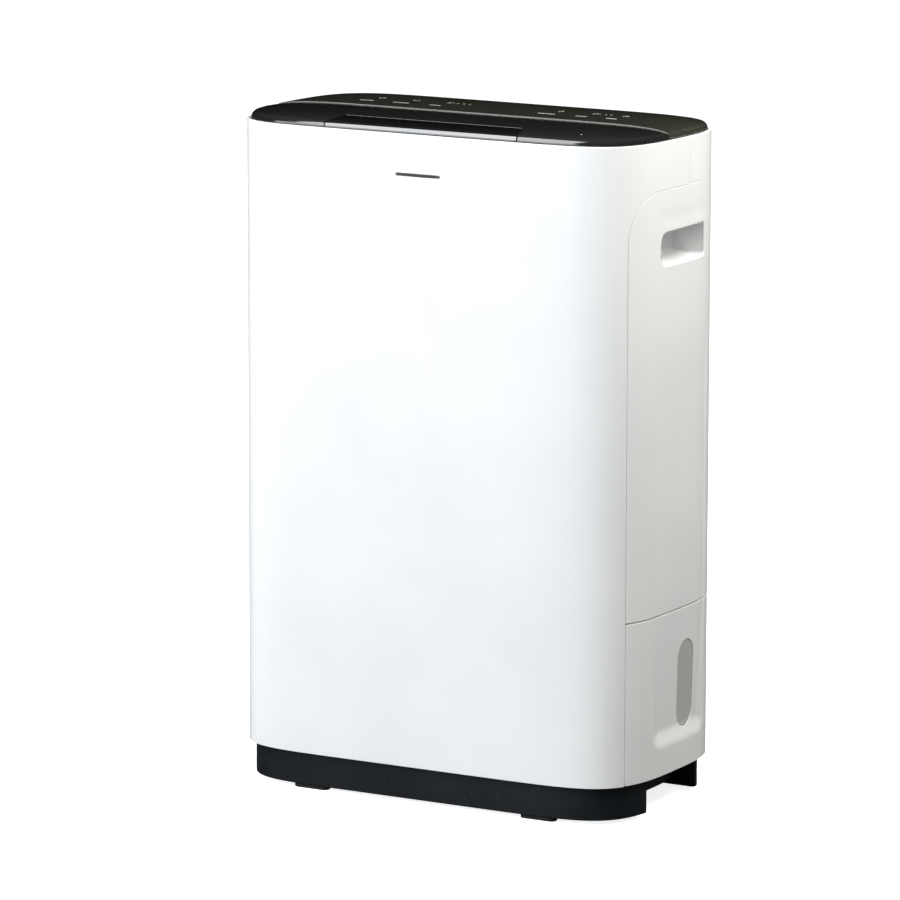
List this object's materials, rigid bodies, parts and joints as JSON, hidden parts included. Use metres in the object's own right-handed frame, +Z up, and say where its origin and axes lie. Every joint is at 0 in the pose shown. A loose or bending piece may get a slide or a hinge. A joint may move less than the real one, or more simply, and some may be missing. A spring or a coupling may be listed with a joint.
{
  "type": "dehumidifier",
  "caption": "Upright compressor dehumidifier: white casing with a domed black cap and outlet flap, pull-out rear water tank, dark plinth on rubber feet, fan and cooling circuit inside.",
  "frame": {"origin": "on the floor under the centre of the casing", "axes": "+Z up, +Y towards the back where the tank pulls out, +X towards the right end seen from the front"},
  "size_m": [0.4, 0.214, 0.6028],
  "materials": {
    "white_gloss": "glossy injection-moulded white",
    "tank_inner": "smooth moulded white",
    "black_gloss": "piano black with soft gloss",
    "panel_black": "satin black control panel",
    "charcoal": "fine grained charcoal",
    "grey_plastic": "plain moulded grey",
    "black_plastic": "moulded black",
    "rubber": "matt black rubber",
    "window_grey": "smoked translucent plastic",
    "lens_dark": "dark translucent light bar",
    "steel": "zinc-plated steel",
    "aluminium": "rolled aluminium fins",
    "copper": "drawn copper tube",
    "black_enamel": "black enamel",
    "circuit_green": "green solder mask",
    "foam": "closed-cell foam"
  },
  "bodies": {
    "housing": {"base": "charcoal", "chassis": "grey_plastic", "front_shell": "white_gloss", "rear_shell": "white_gloss", "status_lens": "lens_dark", "foot_pad_front_left": "rubber", "foot_pad_front_right": "rubber", "foot_pad_rear_left": "rubber", "foot_pad_rear_right": "rubber", "top_lid": "black_gloss", "control_panel": "panel_black", "display_board": "circuit_green", "flap_motor": "grey_plastic", "blower_scroll_front": "grey_plastic", "blower_scroll_rear": "grey_plastic", "outlet_duct": "grey_plastic", "outlet_guard": "black_plastic", "fan_motor": "steel", "evaporator": "aluminium", "condenser": "aluminium", "drip_tray": "grey_plastic", "suction_pipe": "copper", "discharge_pipe": "copper", "capillary_tube": "copper", "accumulator": "black_enamel", "compressor": "black_enamel", "compressor_mount_1": "rubber", "compressor_mount_2": "rubber", "compressor_mount_3": "rubber", "tank_switch": "grey_plastic", "humidity_sensor": "grey_plastic", "drain_spout": "grey_plastic", "cord_gland": "rubber", "electronics_box": "grey_plastic", "main_board": "circuit_green", "run_capacitor": "aluminium", "rear_screw_lower_left": "steel", "rear_screw_lower_right": "steel", "rear_screw_upper_left": "steel", "rear_screw_upper_right": "steel", "base_screw_1": "steel", "base_screw_2": "steel", "base_screw_3": "steel", "base_screw_4": "steel"},
    "outlet_flap": {"outlet_flap": "black_gloss"},
    "fan": {"fan_wheel": "black_plastic", "fan_shaft": "steel"},
    "tank": {"tank": "white_gloss", "tank_lid": "tank_inner", "tank_window_left": "window_grey", "tank_window_right": "window_grey"},
    "tank_float": {"tank_float": "foam"},
    "intake_cover": {"intake_grille": "white_gloss", "air_filter": "charcoal"},
    "drain_plug": {"drain_plug": "rubber"}
  },
  "joints": [
    {"name": "flap_tilt", "type": "hinge", "parent": "housing", "child": "outlet_flap", "pos_m": [0, -0.081, 0.60029], "axis": [-1, 0, 0], "range_deg": [0, 75]},
    {"name": "fan_spin", "type": "hinge", "parent": "housing", "child": "fan", "pos_m": [0.03, -0.069, 0.33], "axis": [0, 1, 0], "continuous": true},
    {"name": "tank_slide", "type": "slide", "parent": "housing", "child": "tank", "axis": [0, 1, 0], "range_m": [0, 0.19]},
    {"name": "float_tilt", "type": "hinge", "parent": "tank", "child": "tank_float", "pos_m": [-0.06, -0.065, 0.163], "axis": [1, 0, 0], "range_deg": [0, 20]},
    {"name": "intake_cover_slide", "type": "slide", "parent": "housing", "child": "intake_cover", "axis": [0, 1, 0], "range_m": [0, 0.06]},
    {"name": "drain_plug_pull", "type": "slide", "parent": "housing", "child": "drain_plug", "axis": [0, 1, 0], "range_m": [0, 0.02]}
  ]
}
